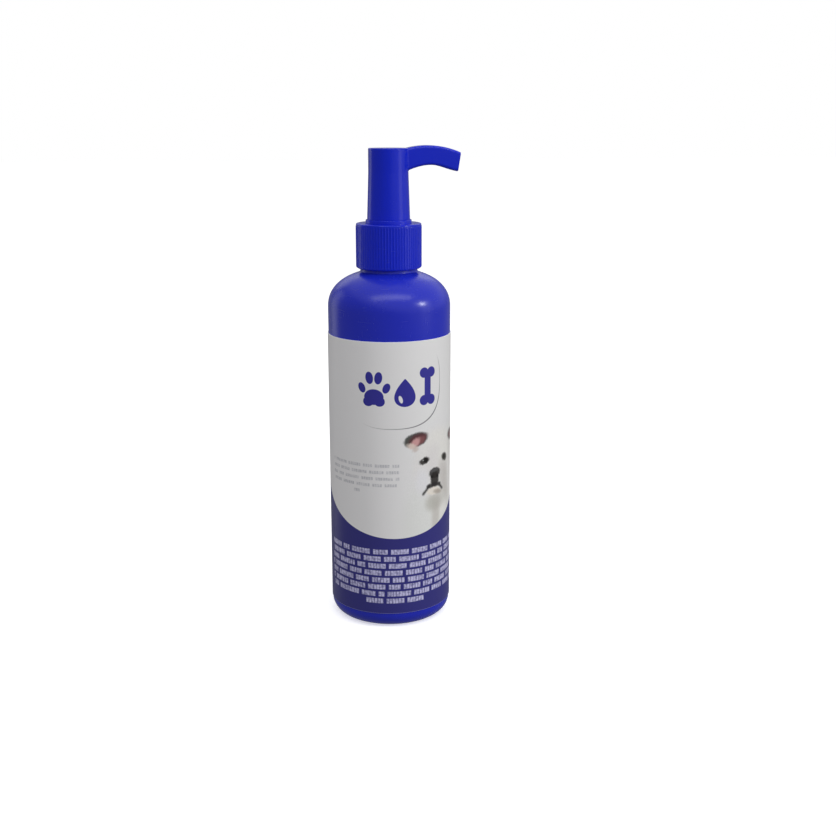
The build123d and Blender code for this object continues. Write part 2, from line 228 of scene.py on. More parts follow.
def helix_rise(angle, z, start, turns, root_w, crest_w, height):
    """How far a right-hand thread stands out at a point, its ends faded away."""
    along = (z - start) / PITCH - angle / (2 * math.pi)
    best = 0.0
    for k in range(-1, int(turns) + 2):
        turn = angle / (2 * math.pi) + k
        if not 0 <= turn <= turns:
            continue
        off = abs(along - k) * PITCH
        flank = (root_w / 2 - off) / ((root_w - crest_w) / 2)
        fade = smooth01(min(turn, turns - turn) / 0.08)
        best = max(best, height * smooth01(flank) * fade)
    return best


def wrapped(a):
    """An angle brought to within half a turn of zero."""
    return (a + math.pi) % (2 * math.pi) - math.pi


def spaced(low, high, step):
    """Heights from low to high, evenly spaced by about step, ends included."""
    count = max(1, round((high - low) / step))
    return [low + (high - low) * i / count for i in range(count + 1)]


# ---- Bottle --------------------------------------------------------------------------------
def bottle_angles():
    """Even steps, with extra ones beside the mould's parting line on each side."""
    fine = [0.0, 0.0015, 0.003, 0.0045, 0.006, 0.009, 0.013, 0.02]
    near = sorted({s * f for f in fine for s in (-1, 1)})
    angles = [a for a in even_angles(180) if abs(wrapped(a)) > 0.03]
    angles = [a for a in angles if abs(wrapped(a - math.pi)) > 0.03]
    angles += [a % (2 * math.pi) for a in near] + [math.pi + a for a in near]
    return sorted(angles)


def bottle_outline():
    foot = arc((0, FOOT_RISE - FOOT_ARC_R), FOOT_ARC_R, 90, 81.06, 8)
    heel_centre = (BODY_R - HEEL_R, HEEL_R)
    heel = arc(heel_centre, HEEL_R, -90, 0, 12)
    side = [(BODY_R, z) for z in (30, 60, 90, 115, 125)]
    outer = superellipse(BODY_R, SHOULDER_RISE, NECK_ROOT_R + NECK_FLARE)
    flare_z = outer[-1][1] + NECK_FLARE * SHOULDER_RISE / BODY_R / 2
    flare = bend(outer[-1], (NECK_ROOT_R, flare_z), (NECK_ROOT_R, NECK_FLARE_Z), 9)
    neck = rounded(
        [
            (NECK_ROOT_R, NECK_FLARE_Z + 0.4),
            (NECK_ROOT_R, NECK_ROOT_Z, 0.2),
            (NECK_R, NECK_ROOT_Z, 0.25),
            (NECK_R, THREAD_LOW),
        ],
        closed=False,
    )
    rows = [(NECK_R, z) for z in spaced(THREAD_LOW + 0.2, THREAD_HIGH - 0.2, 0.2)]
    lip = rounded(
        [
            (NECK_R, THREAD_HIGH),
            (NECK_R, NECK_TOP, 0.35),
            (NECK_BORE_R, NECK_TOP, 0.2),
            (NECK_BORE_R, 150),
        ],
        closed=False,
    )
    inner_r = BODY_R - WALL
    inner = superellipse(inner_r, SHOULDER_RISE - WALL, NECK_BORE_R)[::-1]
    inner_side = [(inner_r, 90), (inner_r, 40)]
    inner_heel = arc(heel_centre, HEEL_R - WALL, 0, -90, 8)
    inner_foot = [(17, WALL), (15.4, 2.4), (8, 3.27), (0, FOOT_RISE + WALL)]
    under = [(0, FOOT_RISE)] + foot[1:] + [(16.2, 0.55), (16.85, 0.08), (FOOT_R, 0)]
    outside = under + heel + side + outer + flare + neck + rows + lip
    return outside + inner + inner_side + inner_heel + inner_foot


def bottle_shift(angle, r, z):
    """Adds the neck's thread, the parting line up both sides and the pinch-off scar below."""
    side = min(abs(wrapped(angle)), abs(wrapped(angle - math.pi)))
    if THREAD_LOW < z < THREAD_HIGH and r > NECK_R - 0.3:
        r += helix_rise(angle, z, THREAD_START, TURNS, 2.2, 0.9, 1.15)
    elif z < NECK_ROOT_Z - 0.3 and (r > BODY_R - WALL / 2 or z > SHOULDER_Z):
        r += ridge(side * r, 0.13, 0.045)
    elif z < 3 and r < 14:
        z -= ridge(math.sin(side) * r, 0.7, 0.35) * smooth01((13 - r) / 1.5)
    return r, z


def make_bottle():
    return lathe("bottle_blown", bottle_outline(), bottle_angles(), False, bottle_shift)


# ---- Label ---------------------------------------------------------------------------------
def make_label():
    """The wrap as one thin shell with soft edges and rounded corners at the seam."""
    half_gap = LABEL_GAP / 2 / LABEL_R
    corner = LABEL_CORNER
    edge_r = 0.14
    inner = BODY_R + 0.004
    outline = rounded(
        [
            (inner, LABEL_LOW),
            (LABEL_R, LABEL_LOW, edge_r),
            (LABEL_R, LABEL_LOW + corner),
            (LABEL_R, LABEL_HIGH - corner),
            (LABEL_R, LABEL_HIGH, edge_r),
            (inner, LABEL_HIGH),
        ]
    )
    steps = [0.02, 0.08, 0.2, 0.4, 0.7, 1.1, 1.6, 2.1]
    extra = [(LABEL_R, LABEL_LOW + edge_r + d) for d in steps]
    tall = [(LABEL_R, z) for z in spaced(LABEL_LOW + corner, LABEL_HIGH - corner, 9)]
    top = [(LABEL_R, LABEL_HIGH - edge_r - d) for d in reversed(steps)]
    low_part = [p for p in outline if p[1] < LABEL_LOW + 0.2]
    high_part = [p for p in outline if p[1] > LABEL_HIGH - 0.2]
    back = [(inner, LABEL_HIGH - d) for d in (0.6, corner)]
    back += [(inner, LABEL_LOW + d) for d in (corner, 0.6)]
    loop = low_part + extra + tall + top + high_part + back
    columns = 240
    verts, faces = [], []
    for c in range(columns + 1):
        share = 2 * c / columns - 1
        for r, z in loop:
            from_end = min(z - LABEL_LOW, LABEL_HIGH - z)
            edge_band = max(0.0, corner - from_end)
            pull = (corner - math.sqrt(max(0.0, corner**2 - edge_band**2))) / LABEL_R
            angle = -math.pi / 2 + share * (math.pi - half_gap - pull)
            verts.append((r * math.cos(angle), r * math.sin(angle), z))
    size = len(loop)
    for c in range(columns):
        for i in range(size):
            j = (i + 1) % size
            a, b = c * size, (c + 1) * size
            faces.append((a + i, b + i, b + j, a + j))
    faces.append(tuple(range(size)))
    faces.append(tuple(columns * size + i for i in reversed(range(size))))
    return mesh_object("label_wrap", verts, faces)


# ---- Closure and chaplet -------------------------------------------------------------------
def rib_angles():
    """For each rib: its crest, its flanks and the flat between it and the next."""
    across = [0.0, 0.09, 0.17, 0.24, 0.3, 0.38]
    offsets = sorted({s * a / CAP_R for a in across for s in (-1, 1)})
    step = 2 * math.pi / RIBS
    return [(i * step + o) % (2 * math.pi) for i in range(RIBS) for o in offsets + [step / 2]]


def closure_outline():
    side = [(CAP_R, z) for z in (147.75, 147.83, 147.93, 148.05, 148.25, 151, 154, 157, 160)]
    side += [(CAP_R, z) for z in (163.9, 164.1, 164.25, 164.38)]
    start = rounded(
        [(12.2, CAP_LOW), (12.3, CAP_LOW, 0.06), (CAP_R, CAP_SKIRT_Z, 0.1), (CAP_R, 147.75)],
        closed=False,
    )
    top = rounded(
        [
            (CAP_R, 164.45),
            (CAP_R, CAP_TOP, 0.5),
            (CAP_HOLE_R, CAP_TOP, 0.2),
            (CAP_HOLE_R, 164.5),
        ],
        closed=False,
        steps=8,
    )
    under = [(CAP_HOLE_R, CAP_CEILING), (11.6, CAP_CEILING)]
    under += [(CAP_INNER_R, 163.4), (CAP_INNER_R, 160.5)]
    rows = [(CAP_INNER_R, z) for z in reversed(spaced(150.6, 160.2, 0.24))]
    return start + side + top + under + rows + [(CAP_INNER_R, 149), (CAP_INNER_R, 147.2)]


def closure_shift(angle, r, z):
    """Adds the grip ribs outside and the thread inside."""
    if r > CAP_R - 0.1 and RIB_LOW < z < RIB_HIGH:
        step = 2 * math.pi / RIBS
        off = abs(wrapped((angle + step / 2) % step - step / 2)) * CAP_R
        ends = smooth01((z - RIB_LOW) / RIB_FADE) * smooth01((RIB_HIGH - z) / RIB_FADE)
        bulge = math.sqrt(RIB_R**2 - min(off, RIB_R) ** 2) - RIB_SUNK
        r += max(0.0, bulge) * ends
    elif r < CAP_INNER_R + 0.05 and 150.4 < z < THREAD_HIGH:
        r -= helix_rise(angle, z, THREAD_START - PITCH / 2, TURNS, 1.7, 0.7, 1.05)
    return r, z


def make_closure():
    return lathe("closure_ribbed", closure_outline(), sorted(rib_angles()), True, closure_shift)


def make_chaplet():
    corners = [
        (CHAPLET_BORE_R, 163.0),
        (11.25, 163.0),
        (11.25, 162.15),
        (11.75, 162.15, 0.15),
        (11.75, CAP_CEILING, 0.15),
        (CHAPLET_R, CAP_CEILING),
        (CHAPLET_R, CHAPLET_TOP, 0.16),
        (CHAPLET_BORE_R, CHAPLET_TOP, 0.16),
    ]
    return lathe("chaplet_ring", rounded(corners), even_angles(144))


# ---- Return spring -------------------------------------------------------------------------
def make_spring():
    """Wire coil with a closed turn at each end, swept along its own centre line."""
    turns, sides, per_turn = 8.5, 14, 48
    low, high = SPRING_LOW + WIRE_R, SPRING_HIGH - WIRE_R
    closed_rise = 2.1 * WIRE_R
    open_rise = (high - low - 2 * closed_rise) / (turns - 2)

    def centre_z(t):
        if t < 1:
            return low + closed_rise * t
        if t > turns - 1:
            return high - closed_rise * (turns - t)
        return low + closed_rise + open_rise * (t - 1)

    count = int(turns * per_turn)
    verts, faces = [], []
    for i in range(count + 1):
        t = turns * i / count
        a = 2 * math.pi * t
        z = centre_z(t)
        rise = (centre_z(min(t + 0.01, turns)) - centre_z(max(t - 0.01, 0))) / 0.02
        tangent = Vector((-math.sin(a) * SPRING_R, math.cos(a) * SPRING_R, rise / (2 * math.pi)))
        out = Vector((math.cos(a), math.sin(a), 0))
        up = tangent.normalized().cross(out)
        for k in range(sides):
            b = 2 * math.pi * k / sides
            p = out * (SPRING_R + WIRE_R * math.cos(b)) + up * WIRE_R * math.sin(b)
            verts.append((p.x, p.y, p.z + z))
    for i in range(count):
        for k in range(sides):
            j = (k + 1) % sides
            a, b = i * sides, (i + 1) * sides
            faces.append((a + k, a + j, b + j, b + k))
    faces.append(tuple(range(sides)))
    faces.append(tuple(count * sides + k for k in reversed(range(sides))))
    return mesh_object("return_spring_wire", verts, faces, crease=60)


# ---- Node graphs ---------------------------------------------------------------------------
class Field:
    """A value that varies over a surface: one output in a material's node tree."""

    def __init__(self, graph, socket):
        self.graph = graph
        self.socket = socket

    def __add__(self, other):
        return self.graph.math("ADD", self, other)

    def __sub__(self, other):
        return self.graph.math("SUBTRACT", self, other)

    def __rsub__(self, other):
        return self.graph.math("SUBTRACT", other, self)

    def __mul__(self, other):
        return self.graph.math("MULTIPLY", self, other)

    def __truediv__(self, other):
        return self.graph.math("DIVIDE", self, other)

    def __abs__(self):
        return self.graph.math("ABSOLUTE", self)

    __radd__ = __add__
    __rmul__ = __mul__


class Graph:
    """A material being wired, with a coordinate in millimetres ready to use."""

    def __init__(self, name):
        self.material = bpy.data.materials.new(name)
        self.material.use_nodes = True
        self.tree = self.material.node_tree
        self.shader = self.tree.nodes["Principled BSDF"]
        place = self.node("ShaderNodeTexCoord", "Object")
        self.place = self.vector("SCALE", place, scale=1 / MM)

    def feed(self, socket, value):
        if isinstance(value, Field):
            self.tree.links.new(value.socket, socket)
        elif socket.type == "VECTOR":
            socket.default_value = value[:3]
        else:
            socket.default_value = value

    def node(self, kind, output, inputs=None, **settings):
        node = self.tree.nodes.new(kind)
        for key, value in settings.items():
            setattr(node, key, value)
        for key, value in (inputs or {}).items():
            self.feed(node.inputs[key], value)
        return Field(self, node.outputs[output])

    def math(self, operation, *values):
        inputs = dict(enumerate(values))
        return self.node("ShaderNodeMath", 0, inputs, operation=operation)

    def vector(self, operation, *values, scale=None, output=0):
        inputs = dict(enumerate(values))
        if scale is not None:
            inputs["Scale"] = scale
        return self.node("ShaderNodeVectorMath", output, inputs, operation=operation)

    def split(self, vector):
        node = self.tree.nodes.new("ShaderNodeSeparateXYZ")
        self.feed(node.inputs[0], vector)
        return [Field(self, out) for out in node.outputs]

    def join(self, x=0.0, y=0.0, z=0.0):
        return self.node("ShaderNodeCombineXYZ", 0, {0: x, 1: y, 2: z})

    def ramp(self, value, low, high, to_low=0.0, to_high=1.0):
        """Smooth step of a value from low to high; low may be the larger."""
        inputs = {0: value, 1: low, 2: high, 3: to_low, 4: to_high}
        return self.node(
            "ShaderNodeMapRange", 0, inputs, interpolation_type="SMOOTHSTEP", clamp=True
        )

    def line(self, value, low, high, to_low, to_high):
        """Straight mapping of a value, held at its ends."""
        inputs = {0: value, 1: low, 2: high, 3: to_low, 4: to_high}
        return self.node("ShaderNodeMapRange", 0, inputs, clamp=True)

    def noise(self, vector, scale, detail=2.0, rough=0.5, output=0):
        inputs = {"Vector": vector, "Scale": scale, "Detail": detail, "Roughness": rough}
        return self.node("ShaderNodeTexNoise", output, inputs)

    def chance(self, x, y, z):
        """A random value from 0 to 1 for each whole-numbered place."""
        inputs = {"Vector": self.join(x, y, z)}
        return self.node("ShaderNodeTexWhiteNoise", "Value", inputs, noise_dimensions="3D")

    def over(self, under, colour, mask):
        """Lays a colour over another where the mask is 1."""
        inputs = {0: mask, 6: under, 7: colour}
        return self.node("ShaderNodeMix", 2, inputs, data_type="RGBA")

    def tint(self, colour, amount):
        """A colour made brighter or darker by a factor."""
        return self.vector("SCALE", colour, scale=amount)

    def ellipse(self, point, cx, cy, rx, ry, tilt=0.0, soft=0.1):
        """Mask of an ellipse; soft is the share of its radius over which it fades."""
        inputs = {
            "Vector": point,
            "Location": (cx, cy, 0),
            "Rotation": (0, 0, math.radians(tilt)),
            "Scale": (rx, ry, 1),
        }
        local = self.node("ShaderNodeMapping", 0, inputs, vector_type="TEXTURE")
        far = self.vector("LENGTH", local, output="Value")
        return self.ramp(far, 1 + soft, 1 - soft)

    def stroke(self, point, start, end, half_width, soft):
        """Mask of a round-ended stroke from one point to another."""
        a, b = Vector((*start, 0)), Vector((*end, 0))
        along = b - a
        offset = self.vector("SUBTRACT", point, tuple(a))
        share = self.vector("DOT_PRODUCT", offset, tuple(along), output="Value")
        share = self.node(
            "ShaderNodeMath",
            0,
            {0: share, 1: 1 / along.length_squared},
            operation="MULTIPLY",
            use_clamp=True,
        )
        nearest = self.vector("SCALE", tuple(along), scale=share)
        gap = self.vector("SUBTRACT", offset, nearest)
        far = self.vector("LENGTH", gap, output="Value")
        return self.ramp(far, half_width + soft, half_width - soft)

    def bump(self, height, distance, below=None):
        """Normal from a height field; distance is in millimetres for a height of 1."""
        inputs = {"Height": height, "Distance": distance * MM, "Strength": 1.0}
        if below is not None:
            inputs["Normal"] = below
        return self.node("ShaderNodeBump", 0, inputs)

    def finish(self, colour, roughness, normal=None, **sockets):
        self.feed(self.shader.inputs["Base Color"], colour)
        self.feed(self.shader.inputs["Roughness"], roughness)
        if normal is not None:
            self.feed(self.shader.inputs["Normal"], normal)
        for name, value in sockets.items():
            self.shader.inputs[name.replace("_", " ")].default_value = value
        return self.material


def ink(red, green, blue, light=0.68, gloss=0.008):
    """Reflectance that shows as an 8-bit screen colour under this scene's light and gloss."""
    linear = []
    for value in (red, green, blue):
        v = value / 255
        v = v / 12.92 if v <= 0.04045 else ((v + 0.055) / 1.055) ** 2.4
        linear.append(min(0.92, max(0.0, v - gloss) / light))
    return (*linear, 1.0)


# ---- Plastic, steel and foam ---------------------------------------------------------------
def moulded(name, colour, roughness, gloss, cloud=0.05, waves=0.0, peel=0.010):
    """Pigmented plastic: faint flow clouds, orange peel, rubbed patches and hairline marks."""
    g = Graph(name)
    flow = g.noise(g.place, 0.045, 3.0, 0.6)
    speck = g.noise(g.place, 3.1, 1.0)
    tone = 1 + (flow - 0.5) * 2 * cloud + (speck - 0.5) * 0.03
    marks = hairlines(g)
    rub = g.ramp(g.noise(g.vector("MULTIPLY", g.place, (1, 1, 0.35)), 0.13, 4.0, 0.6), 0.52, 0.72)
    rough = roughness + rub * 0.07 + marks * 0.10 + (speck - 0.5) * 0.04
    fine = g.noise(g.place, 0.55, 2.0) + g.noise(g.place, 2.3, 2.0) * 0.35
    height = fine + g.noise(g.place, 0.09, 1.0) * waves - marks * 0.25
    normal = g.bump(height, peel)
    scuffed = (*(0.6 * c + 0.048 for c in colour[:3]), 1.0)
    base = g.tint(g.over(colour, scuffed, marks * 0.25), tone)
    return g.finish(base, rough, normal, Specular_IOR_Level=gloss)


def hairlines(g):
    """Sparse fine scratches, in two directions."""
    wander = g.vector("SCALE", g.noise(g.place, 0.08, 1.0, output=1), scale=6.0)
    bent = g.vector("ADD", g.place, wander)
    total = None
    for stretch in ((9.0, 9.0, 0.25), (0.4, 0.4, 7.0)):
        streak = g.noise(g.vector("MULTIPLY", bent, stretch), 0.35, 1.0, 0.4)
        fine = g.ramp(streak, 0.715, 0.76)
        total = fine if total is None else g.math("MAXIMUM", total, fine)
    patch = g.ramp(g.noise(g.place, 0.07, 1.0), 0.45, 0.62)
    return total * patch


def milky(name, colour, roughness, transmission):
    """Unpigmented polypropylene: cloudy, slightly clear, with flow lines along its length."""
    g = Graph(name)
    cloud = g.noise(g.vector("MULTIPLY", g.place, (1, 1, 0.3)), 0.3, 3.0, 0.55)
    fine = g.noise(g.vector("MULTIPLY", g.place, (2.2, 2.2, 0.25)), 1.1, 2.0)
    rough = roughness + (cloud - 0.5) * 0.16 + (fine - 0.5) * 0.08
    base = g.tint(colour, 0.94 + cloud * 0.1)
    return g.finish(
        base, rough, g.bump(fine + cloud, 0.02), Transmission_Weight=transmission, IOR=1.49
    )


def drawn_steel(name, roughness, streaks):
    """Bare wire: bright, with drawing lines round the coil and dull spots."""
    g = Graph(name)
    x, y, z = g.split(g.place)
    away = g.vector("LENGTH", g.join(x, y), output="Value")
    lines = g.noise(g.join(away * 9, z * streaks, 0.0), 1.0, 3.0, 0.7)
    dull = g.ramp(g.noise(g.place, 0.9, 3.0), 0.5, 0.75)
    base = g.over((0.63, 0.62, 0.60, 1), (0.40, 0.39, 0.37, 1), dull * 0.5)
    rough = roughness + (lines - 0.5) * 0.22 + dull * 0.12
    return g.finish(base, rough, g.bump(lines, 0.012), Metallic=1.0)


def foam(name, colour):
    """Closed-cell foam: tiny cells and a slightly uneven tone."""
    g = Graph(name)
    inputs = {"Vector": g.place, "Scale": 5.5}
    cells = g.node("ShaderNodeTexVoronoi", "Distance", inputs)
    tone = 0.86 + g.ramp(cells, 0.05, 0.45) * 0.16
    return g.finish(g.tint(colour, tone), 0.78 + cells * 0.15, g.bump(cells, 0.06))


def rubber(name, colour):
    """Soft seal: matt, with fine grain and dusty patches."""
    g = Graph(name)
    grain = g.noise(g.place, 4.5, 3.0, 0.6)
    dust = g.ramp(g.noise(g.place, 0.5, 2.0), 0.45, 0.7)
    tone = 0.9 + grain * 0.12 + dust * 0.05
    return g.finish(g.tint(colour, tone), 0.55 + grain * 0.2, g.bump(grain, 0.03))


# ---- Label artwork, (u, v) in millimetres: round from the front, and up --------------------
PAPER = ink(208, 207, 217)
NAVY_ZONE = ink(50, 49, 112)
NAVY_MARK = ink(50, 48, 132)
LILAC = ink(178, 176, 212)
GREY_TEXT = ink(160, 160, 166)
WAVE_R = 52.0
WAVE_LOW = 39.7
WORD_CELLS = 6.5


def greeking(g, u, v, first, pitch, rows, height, left, right, cell, last=None):
    """Rows of small smudged blocks that stand for text, parted into words; no letters."""
    down = (first + pitch / 2 - v) / pitch
    row = g.math("FLOOR", down)
    within = abs(down - row - 0.5)
    across = u / cell + row * 0.37
    column = g.math("FLOOR", across)
    inside = abs(across - column - 0.5)
    jitter = g.chance(column, row, first)
    word = (column + 0.5) * (1 / WORD_CELLS) + row * 0.43
    which = g.math("FLOOR", word)
    gap_at = 0.5 + (g.chance(which, row, pitch) - 0.5) * 0.5
    space = g.math("LESS_THAN", abs(word - which - gap_at), 0.077)
    soft = 0.1 / cell
    wide = 0.39 + jitter * 0.08
    tall = height / pitch / 2
    mask = g.ramp(inside, wide + soft, wide - soft) * g.ramp(within, tall + 0.035, tall - 0.035)
    smudge = g.noise(g.join(u, v, first), 1.15 / cell, 1.0, 0.5)
    mask = mask * (1 - space) * g.ramp(smudge, 0.30, 0.62, 0.45, 1.0)
    ends = g.ramp(u, left - 0.1, left + 0.1) * g.ramp(u, right + 0.1, right - 0.1)
    body = g.math("LESS_THAN", row, rows - 0.5) * g.math("GREATER_THAN", row, -0.5)
    if last:
        short = g.ramp(u, last[0] - 0.1, last[0] + 0.1) * g.ramp(u, last[1] + 0.1, last[1] - 0.1)
        ends = ends + (short - ends) * g.math("GREATER_THAN", row, rows - 1.5)
    return mask * body * ends


def paw(g, p):
    """Paw print: one broad pad and four toes."""
    parts = [
        (-10.3, 99.0, 4.0, 3.2, 0),
        (-12.5, 97.3, 2.3, 2.1, 20),
        (-8.1, 97.3, 2.3, 2.1, -20),
        (-15.3, 102.6, 1.45, 2.15, 24),
        (-12.1, 106.7, 1.6, 2.5, 8),
        (-8.4, 106.7, 1.6, 2.5, -8),
        (-5.2, 102.6, 1.45, 2.15, -24),
    ]
    return union(g, [g.ellipse(p, *part, soft=0.035) for part in parts])


def union(g, masks):
    total = masks[0]
    for mask in masks[1:]:
        total = g.math("MAXIMUM", total, mask)
    return total


def drop(g, u, v):
    """Water drop with a small light window."""
    low, tall, wide, middle = 94.9, 11.6, 4.5, 2.3
    share = g.line(v, low, low + tall, 0.0, 1.0)
    half = g.math("SQRT", share) * (1 - share) * (wide * 2.598)
    body = g.ramp(half - abs(u - middle), 0.0, 0.2)
    window = g.ellipse(g.join(u, v), 0.5, 98.0, 0.75, 1.6, 18, soft=0.1)
    return body * (1 - window)


def bone(g, p):
    """Upright bone: a shaft with two knobs at each end."""
    knobs = [(12.4 + sx * 1.75, 102.5 + sy * 5.6) for sx in (-1, 1) for sy in (-1, 1)]
    masks = [g.ellipse(p, x, y, 2.1, 2.1, soft=0.05) for x, y in knobs]
    masks.append(g.stroke(p, (12.4, 97.5), (12.4, 107.5), 1.55, 0.1))
    return union(g, masks)


def swoosh(g, u, v):
    """Thin line round the title's lower right corner, fading at both ends."""
    x, y = (u + 2) / 21.4, (v - 104) / 18.1
    power = 2.65
    total = g.math("POWER", abs(x), power) + g.math("POWER", abs(y), power)
    far = g.math("POWER", total, 1 / power) - 1
    turn = g.math("ARCTAN2", y, x)
    thick = 0.0045 + g.ramp(abs(turn + 0.85), 1.0, 0.0) * 0.0085
    line = g.ramp(abs(far), thick + 0.004, thick - 0.004)
    fade = g.ramp(turn, -2.25, -1.7) * g.ramp(turn, 0.62, 0.3)
    return line * fade * 0.85


def dog(g, base, u, v):
    """A white dog's head and chest in soft strokes, half round the label's right side."""
    fur = g.noise(g.join(u * 1.0, v * 0.55, 7.0), 1.3, 3.0, 0.65, output=1)
    ruffle = g.vector("SCALE", g.vector("SUBTRACT", fur, (0.5, 0.5, 0.5)), scale=1.1)
    p = g.vector("ADD", g.join(u, v), ruffle)
    fine = g.noise(g.join(u * 2.6, v * 0.9, 3.0), 1.5, 2.0, 0.6)
    layers = [
        # chest and body
        ((14.0, 47.0, 12.5, 17.0, 0, 0.30), ink(199, 200, 198), 0.8),
        ((30.0, 55.0, 15.0, 24.0, 8, 0.35), ink(208, 207, 203), 0.85),
        ((17.2, 46.5, 2.3, 9.0, -4, 0.6), ink(172, 168, 163), 0.7),
        # head
        ((16.5, 69.5, 11.0, 15.0, -6, 0.16), ink(202, 200, 199), 0.75),
        ((19.5, 76.5, 9.0, 7.0, 0, 0.5), ink(206, 205, 200), 0.6),
        ((15.5, 72.0, 3.6, 6.0, 0, 0.8), ink(192, 188, 190), 0.5),
        # muzzle and cheeks
        ((10.0, 62.5, 3.2, 5.5, 8, 0.6), ink(204, 204, 210), 0.7),
        ((24.5, 60.5, 4.0, 9.0, 14, 0.6), ink(170, 166, 162), 0.75),
        ((20.5, 64.5, 2.2, 5.5, 0, 0.7), ink(180, 177, 174), 0.5),
        ((17.6, 53.4, 4.9, 3.4, -4, 0.7), ink(160, 157, 151), 0.65),
        ((14.8, 52.5, 3.2, 3.0, -20, 0.6), ink(166, 165, 158), 0.6),
        ((31.0, 62.0, 4.5, 9.0, 0, 0.6), ink(214, 213, 208), 0.6),
        # near ear: dark rim, maroon fold, pink inside, cream tip
        ((7.1, 80.9, 5.3, 2.9, 10, 0.16), ink(66, 62, 62), 0.97),
        ((3.6, 80.4, 1.5, 2.2, -14, 0.35), ink(74, 78, 74), 0.9),
        ((8.0, 81.2, 4.4, 2.0, 14, 0.35), ink(82, 46, 50), 0.85),
        ((8.7, 80.3, 2.8, 1.5, 30, 0.5), ink(122, 78, 80), 0.75),
        ((6.6, 79.7, 2.4, 1.5, 42, 0.45), ink(186, 142, 142), 0.92),
        ((5.0, 78.4, 2.1, 1.1, -18, 0.5), ink(196, 180, 172), 0.9),
        ((6.7, 76.9, 1.4, 1.0, 20, 0.6), ink(178, 164, 158), 0.7),
        # far ear
        ((29.2, 70.5, 2.2, 8.5, 6, 0.8), ink(188, 186, 183), 0.55),
        ((31.6, 78.8, 4.6, 2.6, -8, 0.3), ink(78, 76, 75), 0.92),
        ((31.4, 78.6, 3.3, 1.5, -10, 0.5), ink(112, 84, 84), 0.8),
        # eyes
        ((10.8, 71.5, 2.55, 1.35, 12, 0.3), ink(42, 40, 38), 0.96),
        ((11.4, 72.0, 1.2, 1.25, 30, 0.4), ink(26, 24, 24), 0.95),
        ((23.4, 70.8, 2.35, 1.65, -20, 0.3), ink(56, 54, 48), 0.95),
        ((23.2, 71.0, 1.1, 1.0, 0, 0.5), ink(34, 32, 30), 0.9),
        # nose and upper lip
        ((16.6, 65.5, 3.35, 2.3, 0, 0.16), ink(52, 50, 50), 0.97),
        ((16.5, 62.9, 2.45, 3.6, 0, 0.2), ink(40, 37, 36), 0.97),
        ((16.2, 66.6, 2.3, 0.7, 4, 0.6), ink(84, 84, 86), 0.6),
        ((14.9, 64.1, 0.75, 0.55, 20, 0.5), ink(18, 16, 16), 0.9),
        ((18.2, 63.9, 0.75, 0.55, -20, 0.5), ink(18, 16, 16), 0.9),
    ]
    for (cx, cy, rx, ry, tilt, soft), colour, weight in layers:
        mask = g.ellipse(p, cx, cy, rx, ry, tilt, soft)
        base = g.over(base, colour, mask * weight)
    strokes = [
        ((13.2, 60.3), (10.3, 57.6), 0.62, ink(50, 48, 48)),
        ((12.9, 60.3), (16.3, 60.6), 0.95, ink(42, 40, 40)),
        ((16.3, 60.6), (19.5, 60.1), 0.85, ink(42, 40, 40)),
        ((19.4, 60.0), (21.5, 57.8), 0.6, ink(52, 50, 48)),
    ]
    chin = g.ellipse(p, 15.6, 58.0, 3.7, 1.7, -3, 0.3)
    base = g.over(base, ink(206, 200, 192), chin * 0.95)
    chin_low = g.ellipse(p, 18.4, 57.2, 2.6, 1.0, -12, 0.6)
    base = g.over(base, ink(150, 140, 130), chin_low * 0.8)
    for start, end, half_width, colour in strokes:
        base = g.over(base, colour, g.stroke(p, start, end, half_width, 0.5) * 0.95)
    glint = g.ellipse(g.join(u, v), 10.2, 71.9, 0.4, 0.3, 0, 0.5)
    base = g.over(base, ink(150, 150, 150), glint * 0.6)
    strands = g.ramp(fine, 0.3, 0.7, 0.965, 1.035)
    on_dog = g.ellipse(p, 18.0, 62.0, 16.0, 26.0, 0, 0.2)
    return g.tint(base, 1 + (strands - 1) * on_dog)


